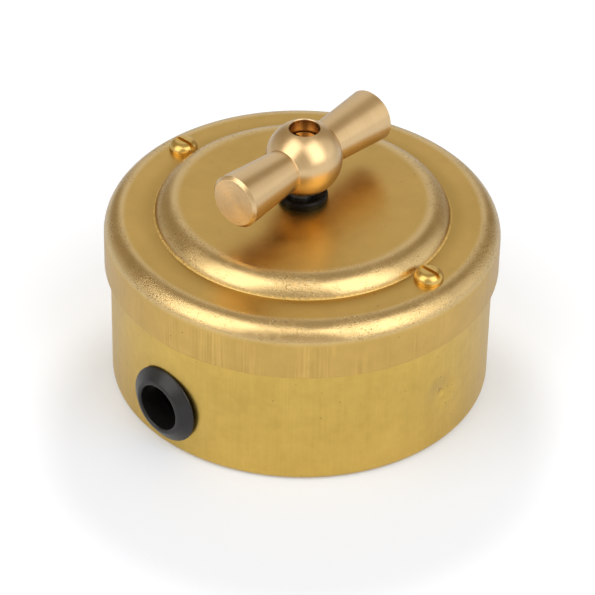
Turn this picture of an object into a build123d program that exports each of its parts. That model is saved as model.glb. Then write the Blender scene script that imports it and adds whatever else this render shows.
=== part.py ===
# A round surface rotary switch in plain brass: a deep pressed base cup with a rubber grommet for the
# cable, a stepped brass cover held by two round-head screws, and a turned handle with two flared arms.
# Inside, a square cam between two leaf springs clicks the handle round in quarter turns, and a bridge
# on the same spindle joins opposite pairs of four fixed contacts on a ceramic block.
# Millimetres. The origin is the middle of the back face, +Z points out of the wall, and the cable
# enters from -Y.
import os
from math import asin, atan2, cos, degrees, pi, radians, sin, sqrt, tan

from build123d import *

# Case
case_radius = 37.8
sheet = 1.0
base_bend_radius = 0.5
skirt_gap = 0.2
skirt_z = 25.85
ledge_z = 37.0
ledge_shoulder = 4.0
ledge_flat = 5.9
plateau_rise = 3.4
plateau_shoulder = 4.8
crease_radius = 0.35
skirt_edge_radius = 0.25

# Dent in the case wall
dent_z = 13.0
dent_ball_radius = 2.2
dent_depth = 0.3

# Cable grommet
entry_z = 10.2
entry_bore_radius = 4.75
groove_radius = 6.3
entry_hole_gap = 0.1
outer_flange_radius = 8.0
outer_flange_depth = 2.0
outer_rim_depth = 0.3
outer_rim_rounding = 0.5
crown_width = 0.85
crown_rounding = 1.2
bore_rounding = 0.4
rounding_margin = 0.02
inner_flange_radius = 7.6
inner_flange_depth = 1.6
inner_flange_rounding = 0.5
grommet_gap = 0.08

# Wall fixing holes
fixing_radius = 2.25
fixing_circle = 29.0

# Screws, all with plain shanks
thread_gap = 0.02
clearance = 0.1
m3_radius = 1.5
slot_width = 0.8
slot_depth = 0.9

# Cover screws and the pillars under the ledge
cover_turn = 2.0
cover_head_radius = 2.85
cover_head_height = 2.0
cover_head_rim = 0.35
cover_head_gap = 0.3
cover_screw_grip = 8.0
pillar_radius = 2.75
spigot_radius = 1.6
spigot_recess = 0.1
blind_depth = 2.0

# Handle
handle_turn = 3.4
ball_radius = 7.55
arm_reach = 20.6
arm_end_radius = 5.4
arm_root_radius = 4.3
arm_end_chamfer = 0.6
seam_radius = 0.15
handle_gap = 0.25
well_radius = 3.0
well_floor = 1.9
well_edge = 0.2
handle_head_radius = 2.75
handle_head_height = 1.8
handle_washer_radius = 2.85
handle_washer_thickness = 0.5
handle_screw_grip = 7.0

# Bush in the cover
bush_flange_radius = 4.9
bush_flange_height = 1.6
bush_neck_radius = 4.0
bush_neck_length = 2.8
bush_nut_height = 1.5
bush_nut_flats = 11.0
bush_edge_radius = 0.7

# Spindle
spindle_radius = 3.0
spindle_flats = 5.0
spindle_seat = 4.75
running_gap = 0.06
fixed_gap = 0.02
pivot_radius = 2.0
pivot_length = 7.5
pivot_end_gap = 0.5
collar_radius = 4.6
collar_height = 1.0
collar_gap = 0.3

# Ceramic block and the four posts on it
block_radius = 23.0
block_height = 12.0
block_edge_chamfer = 0.8
post_radius = 3.2
post_circle = 17.0
post_height = 11.0
post_spigot_length = 6.0

# Screws that hold the block, and the bosses on the floor that they turn into
boss_radius = 3.4
boss_height = 4.0
boss_pocket_gap = 0.2
block_screw_circle = 18.5
block_screw_angle = -22.5
block_head_radius = 2.6
block_head_height = 1.8
block_head_recess = 2.5

# Cap over the block, with the upper bearing
cap_edge_margin = 2.5
cap_thickness = 2.0
cap_corner_radius = 4.0
cap_notch_radius = 3.6
cap_head_radius = 2.6
cap_head_height = 1.8
cap_screw_grip = 8.0

# Detent: square cam, two leaf springs, four pins and a clip
cam_width = 12.0
cam_height = 5.0
cam_corner_radius = 2.0
cam_gap = 0.5
spring_thickness = 0.4
spring_height = 4.0
spring_gap = 0.1
spring_pin_offset = 1.0
spring_pin_radius = 1.0
spring_pin_gap = 0.05
clip_radius = 5.0
clip_thickness = 0.8
clip_opening = 3.6
clip_groove_radius = 2.3
clip_gap = 0.05

# Rotor and its bridge
rotor_radius = 8.5
rotor_height = 4.0
hub_width = 9.0
rotor_collar_height = 3.6
bridge_thickness = 1.0
bridge_width = 6.0
bridge_ring_radius = 7.5
bridge_gap = 0.2

# Fixed contacts and terminals
blade_distance = 12.1
contact_thickness = 0.8
contact_width = 7.0
contact_foot_end = 21.0
blade_height = 8.0
blade_bend_radius = 1.0
terminal_circle = 17.0
terminal_washer_width = 6.8
terminal_head_radius = 2.9
terminal_head_height = 2.0
terminal_screw_grip = 8.0
link_width = 3.0
link_eye_radius = 3.0

# Earth terminal on the floor
earth_angle = -40.0
earth_width = 7.0
earth_height = 8.0
earth_wire_radius = 1.7
earth_wire_height = 4.0
earth_screw_radius = 1.25
earth_head_radius = 2.3
earth_head_height = 1.8
earth_head_lift = 1.0

# Radii and heights that follow from them
base_edge_radius = base_bend_radius + sheet
cover_radius = case_radius + skirt_gap + sheet
ledge_edge = cover_radius - ledge_shoulder
shoulder_z = ledge_z - ledge_shoulder
foot_radius = ledge_edge - ledge_flat
plateau_z = ledge_z + plateau_rise
plateau_arc_z = plateau_z - plateau_shoulder
foot_angle = degrees(asin((ledge_z - plateau_arc_z) / plateau_shoulder))
plateau_flat = foot_radius - plateau_shoulder * cos(radians(foot_angle))
inner_shoulder = plateau_shoulder - sheet
inner_foot_angle = degrees(asin((ledge_z - sheet - plateau_arc_z) / inner_shoulder))
inner_foot_radius = plateau_flat + inner_shoulder * cos(radians(inner_foot_angle))
cover_screw_circle = foot_radius + cover_head_gap + cover_head_radius
crown_radius = entry_bore_radius + crown_width
earth_circle = (block_radius + case_radius - sheet) / 2
m3_thread = m3_radius + thread_gap
m3_clear = m3_radius + clearance

block_top = sheet + block_height
post_top = block_top + post_height
spring_span = sqrt(2) * post_circle + 2 * spring_pin_offset
cap_width = spring_span + 2 * cap_edge_margin
cap_top = post_top + cap_thickness
cam_bottom = cap_top + cam_gap
cam_top = cam_bottom + cam_height
clip_bottom = cam_top + clip_gap
collar_top = block_top + collar_gap + collar_height
bridge_z = collar_top + rotor_height
rotor_collar_z = bridge_z + bridge_thickness
bridge_reach = blade_distance - bridge_gap
contact_foot_top = block_top + contact_thickness
terminal_seat = contact_foot_top + contact_thickness

bush_top = plateau_z + bush_flange_height
handle_z = bush_top + handle_gap + ball_radius
well_z = handle_z + well_floor
spindle_top = bush_top + spindle_seat
handle_seat = well_z + handle_washer_thickness

to_top = (Align.CENTER, Align.CENTER, Align.MIN)
to_bottom = (Align.CENTER, Align.CENTER, Align.MAX)


def on_circle(radius, angle):
    """The point at this radius and angle, in degrees from +X."""
    return (radius * cos(radians(angle)), radius * sin(radians(angle)))


def flatted_round(radius, flats):
    """A round section with two flats, turned with the handle."""
    with BuildSketch() as section:
        Circle(radius)
        Rectangle(flats, 2 * radius, rotation=handle_turn, mode=Mode.INTERSECT)
    return section.sketch


def slotted_screw(head_radius, head_height, shank_radius, shank_length, rounding):
    """A slotted screw, with its seat at the origin and its shank downwards."""
    with BuildPart() as screw:
        Cylinder(head_radius, head_height, align=to_top)
        fillet(screw.edges().group_by(Axis.Z)[-1], radius=rounding)
        Cylinder(shank_radius, shank_length, align=to_bottom)
        with Locations((0, 0, head_height)):
            Box(3 * head_radius, slot_width, 2 * slot_depth, mode=Mode.SUBTRACT)
    return screw.part


cover_screw_places = [on_circle(cover_screw_circle, cover_turn + side) for side in (0, 180)]
fixing_places = [on_circle(fixing_circle, side) for side in (90, -90)]
post_places = [on_circle(post_circle, 45 + quarter) for quarter in (0, 90, 180, 270)]
terminal_places = [on_circle(terminal_circle, quarter) for quarter in (0, 90, 180, 270)]
block_screw_places = [on_circle(block_screw_circle, block_screw_angle + side) for side in (0, 180)]
spring_pin_y = cam_width / 2 + spring_gap + spring_thickness + spring_pin_gap + spring_pin_radius
spring_pin_places = [(sx * spring_span / 2, sy * spring_pin_y) for sx in (1, -1) for sy in (1, -1)]
earth_place = on_circle(earth_circle, earth_angle)

# Base cup, pressed from sheet, with the cable hole, fixing holes, rivet holes and one small dent
with BuildPart() as base_cup:
    Cylinder(case_radius, shoulder_z, align=to_top)
    fillet(base_cup.edges().group_by(Axis.Z)[0], radius=base_edge_radius)
    with BuildSketch(Plane.XY.offset(sheet)):
        Circle(case_radius - sheet)
    extrude(amount=shoulder_z - sheet, mode=Mode.SUBTRACT)
    floor_edge = base_cup.edges().group_by(lambda edge: abs(edge.center().Z - sheet))[0]
    fillet(floor_edge, radius=base_bend_radius)
    with BuildSketch(Plane.XZ.offset(case_radius - 2 * outer_flange_radius)):
        with Locations((0, entry_z)):
            Circle(groove_radius + entry_hole_gap)
    extrude(amount=3 * outer_flange_radius, mode=Mode.SUBTRACT)
    with BuildSketch():
        with Locations(*fixing_places):
            Circle(fixing_radius)
        with Locations(*cover_screw_places, earth_place):
            Circle(spigot_radius + fixed_gap)
    extrude(amount=sheet, mode=Mode.SUBTRACT)
    with Locations((case_radius - dent_depth + dent_ball_radius, 0, dent_z)):
        Sphere(dent_ball_radius, mode=Mode.SUBTRACT)
base_cup.part.label = "base_cup"

# Cover, one stepped pressing that slips over the cup and is open in the middle for the bush
with BuildPart() as cover:
    with BuildSketch(Plane.XZ):
        with BuildLine():
            Line((cover_radius, skirt_z), (cover_radius, shoulder_z))
            CenterArc((ledge_edge, shoulder_z), ledge_shoulder, 0, 90)
            Line((ledge_edge, ledge_z), (foot_radius, ledge_z))
            CenterArc((plateau_flat, plateau_arc_z), plateau_shoulder, foot_angle, 90 - foot_angle)
            Polyline(
                (plateau_flat, plateau_z),
                (bush_neck_radius + clearance, plateau_z),
                (bush_neck_radius + clearance, plateau_z - sheet),
                (plateau_flat, plateau_z - sheet),
            )
            CenterArc((plateau_flat, plateau_arc_z), inner_shoulder, 90, inner_foot_angle - 90)
            Line((inner_foot_radius, ledge_z - sheet), (ledge_edge, ledge_z - sheet))
            CenterArc((ledge_edge, shoulder_z), ledge_shoulder - sheet, 90, -90)
            Polyline(
                (cover_radius - sheet, shoulder_z),
                (cover_radius - sheet, skirt_z),
                (cover_radius, skirt_z),
            )
        make_face()
    revolve(axis=Axis.Z)
    rings = cover.edges().filter_by(GeomType.CIRCLE)
    crease = rings.group_by(lambda ring: abs(ring.center().Z - ledge_z))[0]
    fillet(crease.sort_by(SortBy.RADIUS)[0], radius=crease_radius)
    fillet(rings.group_by(Axis.Z)[0].sort_by(SortBy.RADIUS)[-1], radius=skirt_edge_radius)
    with BuildSketch(Plane.XY.offset(ledge_z - sheet)):
        with Locations(*cover_screw_places):
            Circle(m3_clear)
    extrude(amount=sheet, mode=Mode.SUBTRACT)
cover.part.label = "cover"

# Two round-head screws that hold the cover, their slots along the line between them
with BuildPart() as cover_screws:
    dome_rounding = cover_head_height - cover_head_rim
    cover_shank = sheet + cover_screw_grip
    with Locations(*[Location((x, y, ledge_z), (0, 0, cover_turn)) for x, y in cover_screw_places]):
        add(slotted_screw(cover_head_radius, cover_head_height, m3_radius, cover_shank, dome_rounding))
cover_screws.part.label = "cover_screws"

# Two round pillars, riveted to the floor, that carry the ledge and take the cover screws
pillars = {}
for side, (x, y) in zip(("right", "left"), cover_screw_places):
    with BuildPart() as pillar:
        with BuildSketch(Plane.XY.offset(sheet)):
            with Locations((x, y)):
                Circle(pillar_radius)
        extrude(amount=ledge_z - 2 * sheet)
        with BuildSketch(Plane.XY.offset(spigot_recess)):
            with Locations((x, y)):
                Circle(spigot_radius)
        extrude(amount=sheet - spigot_recess)
        with BuildSketch(Plane.XY.offset(ledge_z - sheet)):
            with Locations((x, y)):
                Circle(m3_thread)
        extrude(amount=-cover_screw_grip - blind_depth, mode=Mode.SUBTRACT)
    pillar.part.label = "cover_pillar_" + side
    pillars[side] = pillar.part

# Rubber grommet, turned round the cable's axis, with the case wall in its groove. The flats beside the
# crown's and the rim's roundings limit them.
inner_flange_y = grommet_gap - sqrt((case_radius - sheet) ** 2 - inner_flange_radius**2)
inner_end_y = inner_flange_y + inner_flange_depth
outer_flange_y = -case_radius - grommet_gap
rim_y = outer_flange_y - outer_rim_depth
front_y = outer_flange_y - outer_flange_depth
crown_slope = atan2(outer_flange_depth - outer_rim_depth, outer_flange_radius - crown_radius)
crown_limit = (crown_width - bore_rounding - rounding_margin) / tan(crown_slope / 2)
rim_limit = (outer_rim_depth - rounding_margin) / tan((pi / 2 - crown_slope) / 2)
with BuildPart() as cable_grommet:
    with BuildSketch(Plane.XY.offset(entry_z)) as grommet_section:
        with BuildLine():
            Polyline(
                (entry_bore_radius, inner_end_y),
                (inner_flange_radius, inner_end_y),
                (inner_flange_radius, inner_flange_y),
                (groove_radius, inner_flange_y),
                (groove_radius, outer_flange_y),
                (outer_flange_radius, outer_flange_y),
                (outer_flange_radius, rim_y),
                (crown_radius, front_y),
                (entry_bore_radius, front_y),
                close=True,
            )
        make_face()
        corners = [
            (entry_bore_radius, front_y, bore_rounding),
            (crown_radius, front_y, min(crown_rounding, crown_limit)),
            (outer_flange_radius, rim_y, min(outer_rim_rounding, rim_limit)),
            (inner_flange_radius, inner_end_y, inner_flange_rounding),
        ]
        for corner_x, corner_y, rounding in corners:
            corner = grommet_section.vertices().sort_by_distance((corner_x, corner_y))[0]
            fillet(corner, radius=rounding)
    revolve(axis=Axis((0, 0, entry_z), (0, 1, 0)))
cable_grommet.part.label = "cable_grommet"

# Black bush that centres the spindle in the cover
with BuildPart() as spindle_bush:
    with BuildSketch(Plane.XY.offset(plateau_z)):
        Circle(bush_flange_radius)
    extrude(amount=bush_flange_height)
    fillet(spindle_bush.edges().group_by(Axis.Z)[-1], radius=bush_edge_radius)
    with BuildSketch(Plane.XY.offset(plateau_z)):
        Circle(bush_neck_radius)
    extrude(amount=-bush_neck_length)
    with BuildSketch(Plane.XY.offset(bush_top)):
        Circle(spindle_radius + running_gap)
    extrude(amount=-bush_flange_height - bush_neck_length, mode=Mode.SUBTRACT)
spindle_bush.part.label = "spindle_bush"

# Hexagon nut on the bush, against the underside of the cover
with BuildPart() as bush_nut:
    with BuildSketch(Plane.XY.offset(plateau_z - sheet)):
        RegularPolygon(bush_nut_flats / 2, 6, major_radius=False)
        Circle(bush_neck_radius + fixed_gap, mode=Mode.SUBTRACT)
    extrude(amount=-bush_nut_height)
bush_nut.part.label = "bush_nut"

# Handle, turned in one piece round the line of its arms: a ball with two flared arms
arm_root = sqrt(ball_radius**2 - arm_root_radius**2)
arm_angle = degrees(asin(arm_root / ball_radius))
handle_plane = Plane.XY.offset(handle_z).rotated((0, 0, handle_turn))
with BuildPart() as handle:
    with BuildSketch(handle_plane):
        with BuildLine():
            Polyline(
                (0, arm_reach),
                (arm_end_radius - arm_end_chamfer, arm_reach),
                (arm_end_radius, arm_reach - arm_end_chamfer),
                (arm_root_radius, arm_root),
            )
            CenterArc((0, 0), ball_radius, arm_angle, -2 * arm_angle)
            Polyline(
                (arm_root_radius, -arm_root),
                (arm_end_radius, arm_end_chamfer - arm_reach),
                (arm_end_radius - arm_end_chamfer, -arm_reach),
                (0, -arm_reach),
                (0, arm_reach),
            )
        make_face()
    revolve(axis=Axis(handle_plane.origin, handle_plane.y_dir))
    turned_edges = handle.edges().filter_by(GeomType.CIRCLE)
    fillet(turned_edges.group_by(lambda edge: abs(edge.radius - arm_root_radius))[0], radius=seam_radius)
    with BuildSketch(Plane.XY.offset(well_z)):
        Circle(well_radius)
    extrude(amount=ball_radius, mode=Mode.SUBTRACT)
    well_rim = sqrt(ball_radius**2 - well_radius**2)
    with BuildSketch(Plane.XY.offset(handle_z + well_rim - well_edge)):
        Circle(well_radius)
    extrude(amount=3 * well_edge, taper=-45, mode=Mode.SUBTRACT)
    with BuildSketch(Plane.XY.offset(spindle_top)):
        Circle(m3_clear)
    extrude(amount=ball_radius, mode=Mode.SUBTRACT)
    with BuildSketch(Plane.XY.offset(spindle_top + clearance)):
        add(flatted_round(spindle_radius + fixed_gap, spindle_flats + 2 * fixed_gap))
    extrude(amount=-ball_radius, mode=Mode.SUBTRACT)
handle.part.label = "handle"

# Washer and screw down in the handle's well, which clamp it on the spindle
with BuildPart() as handle_washer:
    with BuildSketch(Plane.XY.offset(well_z)):
        Circle(handle_washer_radius)
        Circle(m3_clear, mode=Mode.SUBTRACT)
    extrude(amount=handle_washer_thickness)
handle_washer.part.label = "handle_washer"

with BuildPart() as handle_screw:
    with Locations(Location((0, 0, handle_seat), (0, 0, handle_turn))):
        add(
            slotted_screw(
                handle_head_radius,
                handle_head_height,
                m3_radius,
                handle_seat - spindle_top + handle_screw_grip,
                clearance,
            )
        )
handle_screw.part.label = "handle_screw"

# Spindle, with a pivot and collar below, two flats above, a groove for the clip and a tapped end
with BuildPart() as spindle:
    with BuildSketch(Plane.XY.offset(collar_top)):
        add(flatted_round(spindle_radius, spindle_flats))
    extrude(amount=spindle_top - collar_top)
    with BuildSketch(Plane.XY.offset(collar_top)):
        Circle(collar_radius)
    extrude(amount=-collar_height)
    with BuildSketch(Plane.XY.offset(collar_top)):
        Circle(pivot_radius)
    extrude(amount=-collar_height - collar_gap - pivot_length)
    with BuildSketch(Plane.XY.offset(clip_bottom - clip_gap)):
        Circle(spindle_radius)
        Circle(clip_groove_radius, mode=Mode.SUBTRACT)
    extrude(amount=clip_thickness + 2 * clip_gap, mode=Mode.SUBTRACT)
    with BuildSketch(Plane.XY.offset(spindle_top)):
        Circle(m3_thread)
    extrude(amount=-handle_screw_grip - blind_depth, mode=Mode.SUBTRACT)
spindle.part.label = "spindle"

# Spring clip that keeps the cam down
with BuildPart() as spindle_clip:
    with BuildSketch(Plane.XY.offset(clip_bottom)):
        Circle(clip_radius)
        Circle(clip_groove_radius + clip_gap, mode=Mode.SUBTRACT)
        with Locations((clip_radius, 0)):
            Rectangle(2 * clip_radius, clip_opening, mode=Mode.SUBTRACT)
    extrude(amount=clip_thickness)
spindle_clip.part.label = "spindle_clip"

# Square detent cam with rounded corners
with BuildPart() as detent_cam:
    with BuildSketch(Plane.XY.offset(cam_bottom)):
        RectangleRounded(cam_width, cam_width, cam_corner_radius)
        add(flatted_round(spindle_radius + fixed_gap, spindle_flats + 2 * fixed_gap), mode=Mode.SUBTRACT)
    extrude(amount=cam_height)
detent_cam.part.label = "detent_cam"

# Two leaf springs, one on each side of the cam, hooked round their pins at both ends
hook_inner = spring_pin_radius + spring_pin_gap
springs = {}
for side, facing in (("front", -1), ("rear", 1)):
    with BuildPart() as spring:
        with BuildSketch(Plane.XY.offset(cam_bottom + cam_height / 2 - spring_height / 2)):
            with GridLocations(spring_span, 0, 2, 1):
                with Locations((0, facing * spring_pin_y)):
                    Circle(hook_inner + spring_thickness)
                    Circle(hook_inner, mode=Mode.SUBTRACT)
            with Locations((0, facing * spring_pin_y)):
                Rectangle(spring_span, 4 * hook_inner, mode=Mode.SUBTRACT)
            with Locations((0, facing * (spring_pin_y - hook_inner - spring_thickness / 2))):
                Rectangle(spring_span, spring_thickness)
        extrude(amount=spring_height)
    spring.part.label = "detent_spring_" + side
    springs[side] = spring.part

# Four pins pressed into the cap, which the springs hook round
with BuildPart() as spring_pins:
    with BuildSketch(Plane.XY.offset(post_top)):
        with Locations(*spring_pin_places):
            Circle(spring_pin_radius)
    extrude(amount=cam_top - post_top)
spring_pins.part.label = "spring_pins"

# Rotor: an insulating drum with a square hub that keys the bridge
with BuildPart() as rotor:
    with BuildSketch(Plane.XY.offset(collar_top)):
        Circle(rotor_radius)
    extrude(amount=rotor_height)
    with BuildSketch(Plane.XY.offset(bridge_z)):
        Rectangle(hub_width, hub_width)
    extrude(amount=bridge_thickness + rotor_collar_height)
    with BuildSketch(Plane.XY.offset(collar_top)):
        add(flatted_round(spindle_radius + fixed_gap, spindle_flats + 2 * fixed_gap))
    extrude(amount=rotor_height + bridge_thickness + rotor_collar_height, mode=Mode.SUBTRACT)
rotor.part.label = "rotor"

# Insulating collar that clamps the bridge down on the drum
with BuildPart() as rotor_collar:
    with BuildSketch(Plane.XY.offset(rotor_collar_z)):
        Circle(rotor_radius)
        Rectangle(hub_width + clearance, hub_width + clearance, mode=Mode.SUBTRACT)
    extrude(amount=rotor_collar_height)
rotor_collar.part.label = "rotor_collar"

# Moving bridge: a ring round the hub with two arms, which join two opposite contacts
with BuildPart() as contact_bridge:
    with BuildSketch(Plane.XY.offset(bridge_z)):
        Circle(bridge_reach)
        Rectangle(bridge_width, 2 * bridge_reach, mode=Mode.INTERSECT)
        Circle(bridge_ring_radius)
        Rectangle(hub_width + clearance, hub_width + clearance, mode=Mode.SUBTRACT)
    extrude(amount=bridge_thickness)
contact_bridge.part.label = "contact_bridge"


def link_outline(grow):
    """The common link's outline, grown by this much all round: two eyes and the bar between them."""
    right, rear = terminal_places[0], terminal_places[1]
    middle = ((right[0] + rear[0]) / 2, (right[1] + rear[1]) / 2)
    with BuildSketch() as outline:
        with Locations(right, rear):
            Circle(link_eye_radius + grow)
        with Locations(middle):
            Rectangle(sqrt(2) * terminal_circle, link_width + 2 * grow, rotation=-45)
    return outline.sketch


# Ceramic block on the floor, with a pivot hole and a groove for the common link
with BuildPart() as mechanism_base:
    with BuildSketch(Plane.XY.offset(sheet)):
        Circle(block_radius)
    extrude(amount=block_height)
    chamfer(mechanism_base.edges().group_by(Axis.Z)[-1], length=block_edge_chamfer)
    with BuildSketch(Plane.XY.offset(block_top)):
        with Locations(*post_places):
            Circle(spigot_radius + fixed_gap)
    extrude(amount=-post_spigot_length - spigot_recess, mode=Mode.SUBTRACT)
    with BuildSketch(Plane.XY.offset(block_top)):
        with Locations(*terminal_places):
            Circle(m3_thread)
    extrude(amount=-terminal_screw_grip - blind_depth / 2, mode=Mode.SUBTRACT)
    with BuildSketch(Plane.XY.offset(block_top)):
        Circle(pivot_radius + running_gap)
    extrude(amount=-pivot_length - pivot_end_gap, mode=Mode.SUBTRACT)
    with BuildSketch(Plane.XY.offset(block_top)):
        add(link_outline(clearance))
    extrude(amount=-contact_thickness, mode=Mode.SUBTRACT)
    with BuildSketch(Plane.XY.offset(block_top)):
        with Locations(*block_screw_places):
            Circle(block_head_radius + 2 * clearance)
    extrude(amount=-block_head_recess, mode=Mode.SUBTRACT)
    with BuildSketch(Plane.XY.offset(sheet)):
        with Locations(*block_screw_places):
            Circle(m3_clear)
    extrude(amount=block_height, mode=Mode.SUBTRACT)
    with BuildSketch(Plane.XY.offset(sheet)):
        with Locations(*block_screw_places):
            Circle(boss_radius + boss_pocket_gap)
    extrude(amount=boss_height + boss_pocket_gap, mode=Mode.SUBTRACT)
mechanism_base.part.label = "mechanism_base"

# Four tapped posts, pressed into the block by their spigots, that carry the cap
with BuildPart() as cap_posts:
    with BuildSketch(Plane.XY.offset(block_top)):
        with Locations(*post_places):
            Circle(post_radius)
    extrude(amount=post_height)
    with BuildSketch(Plane.XY.offset(block_top)):
        with Locations(*post_places):
            Circle(spigot_radius)
    extrude(amount=-post_spigot_length)
    with BuildSketch(Plane.XY.offset(post_top)):
        with Locations(*post_places):
            Circle(m3_thread)
    extrude(amount=-cap_screw_grip - blind_depth, mode=Mode.SUBTRACT)
cap_posts.part.label = "cap_posts"

# Two tapped bosses brazed to the floor, and the screws that pull the block down on them
with BuildPart() as floor_bosses:
    with BuildSketch(Plane.XY.offset(sheet)):
        with Locations(*block_screw_places):
            Circle(boss_radius)
            Circle(m3_thread, mode=Mode.SUBTRACT)
    extrude(amount=boss_height)
floor_bosses.part.label = "floor_bosses"

with BuildPart() as mechanism_screws:
    block_seat = block_top - block_head_recess
    with Locations(*[(x, y, block_seat) for x, y in block_screw_places]):
        add(slotted_screw(block_head_radius, block_head_height, m3_radius, block_seat - 2 * sheet, clearance))
mechanism_screws.part.label = "mechanism_screws"

# Cap on the posts, notched over the terminal screws, with the upper bearing hole
with BuildPart() as mechanism_cap:
    with BuildSketch(Plane.XY.offset(post_top)):
        RectangleRounded(cap_width, cap_width, cap_corner_radius)
        with Locations(*terminal_places):
            Circle(cap_notch_radius, mode=Mode.SUBTRACT)
        Circle(spindle_radius + running_gap, mode=Mode.SUBTRACT)
        with Locations(*post_places):
            Circle(m3_clear, mode=Mode.SUBTRACT)
        with Locations(*spring_pin_places):
            Circle(spring_pin_radius + fixed_gap, mode=Mode.SUBTRACT)
    extrude(amount=cap_thickness)
mechanism_cap.part.label = "mechanism_cap"

with BuildPart() as cap_screws:
    cap_shank = cap_thickness + cap_screw_grip
    with Locations(*[(x, y, cap_top) for x, y in post_places]):
        add(slotted_screw(cap_head_radius, cap_head_height, m3_radius, cap_shank, clearance))
cap_screws.part.label = "cap_screws"

# Four fixed contacts, each a foot on the block and a blade that faces the rotor
contacts = {}
for quarter, side in enumerate(("right", "rear", "left", "front")):
    with BuildPart() as contact:
        with BuildSketch(Plane.XZ.rotated((0, 0, 90 * quarter))) as contact_section:
            with BuildLine():
                Polyline(
                    (blade_distance, block_top),
                    (contact_foot_end, block_top),
                    (contact_foot_end, contact_foot_top),
                    (blade_distance + contact_thickness, contact_foot_top),
                    (blade_distance + contact_thickness, block_top + blade_height),
                    (blade_distance, block_top + blade_height),
                    close=True,
                )
            make_face()
            outer_bend = contact_section.vertices().group_by(Axis.X)[0].sort_by(Axis.Y)[0]
            fillet(outer_bend, radius=blade_bend_radius)
            inner_bend = (blade_distance + contact_thickness, contact_foot_top)
            nearest = contact_section.vertices().sort_by_distance(inner_bend)[0]
            fillet(nearest, radius=blade_bend_radius - contact_thickness)
        extrude(amount=contact_width / 2, both=True)
        with BuildSketch(Plane.XY.offset(block_top)):
            with Locations(terminal_places[quarter]):
                Circle(m3_clear)
        extrude(amount=contact_thickness, mode=Mode.SUBTRACT)
    contact.part.label = "contact_" + side
    contacts[side] = contact.part

# Common link in the block's groove, under the feet of the right and rear contacts
with BuildPart() as common_link:
    with BuildSketch(Plane.XY.offset(block_top - contact_thickness)):
        add(link_outline(0))
        with Locations(terminal_places[0], terminal_places[1]):
            Circle(m3_clear, mode=Mode.SUBTRACT)
    extrude(amount=contact_thickness)
common_link.part.label = "common_link"

# Square clamp washers and the terminal screws over them
with BuildPart() as terminal_washers:
    with BuildSketch(Plane.XY.offset(contact_foot_top)):
        with Locations(*terminal_places):
            Rectangle(terminal_washer_width, terminal_washer_width)
            Circle(m3_clear, mode=Mode.SUBTRACT)
    extrude(amount=contact_thickness)
terminal_washers.part.label = "terminal_washers"

with BuildPart() as terminal_screws:
    terminal_shank = terminal_seat - block_top + terminal_screw_grip
    with Locations(*[(x, y, terminal_seat) for x, y in terminal_places]):
        add(slotted_screw(terminal_head_radius, terminal_head_height, m3_radius, terminal_shank, clearance))
terminal_screws.part.label = "terminal_screws"

# Earth terminal, a small brass block riveted to the floor, with a hole for the wire and its screw
earth_top = sheet + earth_height
with BuildPart() as earth_terminal:
    with BuildSketch(Plane.XY.offset(sheet)):
        with Locations(earth_place):
            Rectangle(earth_width, earth_width, rotation=earth_angle)
    extrude(amount=earth_height)
    with BuildSketch(Plane.XY.offset(spigot_recess)):
        with Locations(earth_place):
            Circle(spigot_radius)
    extrude(amount=sheet - spigot_recess)
    with BuildSketch(Plane.XY.offset(earth_top)):
        with Locations(earth_place):
            Circle(earth_screw_radius + thread_gap)
    extrude(amount=earth_wire_height - earth_height, mode=Mode.SUBTRACT)
    with Locations(Location((*earth_place, sheet + earth_wire_height), (90, 0, earth_angle))):
        Cylinder(earth_wire_radius, 2 * earth_width, mode=Mode.SUBTRACT)
earth_terminal.part.label = "earth_terminal"

with BuildPart() as earth_screw:
    earth_shank = earth_head_lift + earth_height - earth_wire_height
    with Locations((*earth_place, earth_top + earth_head_lift)):
        add(slotted_screw(earth_head_radius, earth_head_height, earth_screw_radius, earth_shank, clearance))
earth_screw.part.label = "earth_screw"

pieces = [
    base_cup.part,
    cover.part,
    cover_screws.part,
    pillars["right"],
    pillars["left"],
    cable_grommet.part,
    spindle_bush.part,
    bush_nut.part,
    handle.part,
    handle_washer.part,
    handle_screw.part,
    spindle.part,
    spindle_clip.part,
    detent_cam.part,
    springs["front"],
    springs["rear"],
    spring_pins.part,
    rotor.part,
    rotor_collar.part,
    contact_bridge.part,
    mechanism_base.part,
    cap_posts.part,
    floor_bosses.part,
    mechanism_screws.part,
    mechanism_cap.part,
    cap_screws.part,
    *contacts.values(),
    common_link.part,
    terminal_washers.part,
    terminal_screws.part,
    earth_terminal.part,
    earth_screw.part,
]
os.makedirs("parts", exist_ok=True)
for piece in pieces:
    export_step(piece, "parts/" + piece.label + ".step")
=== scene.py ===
import math

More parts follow.
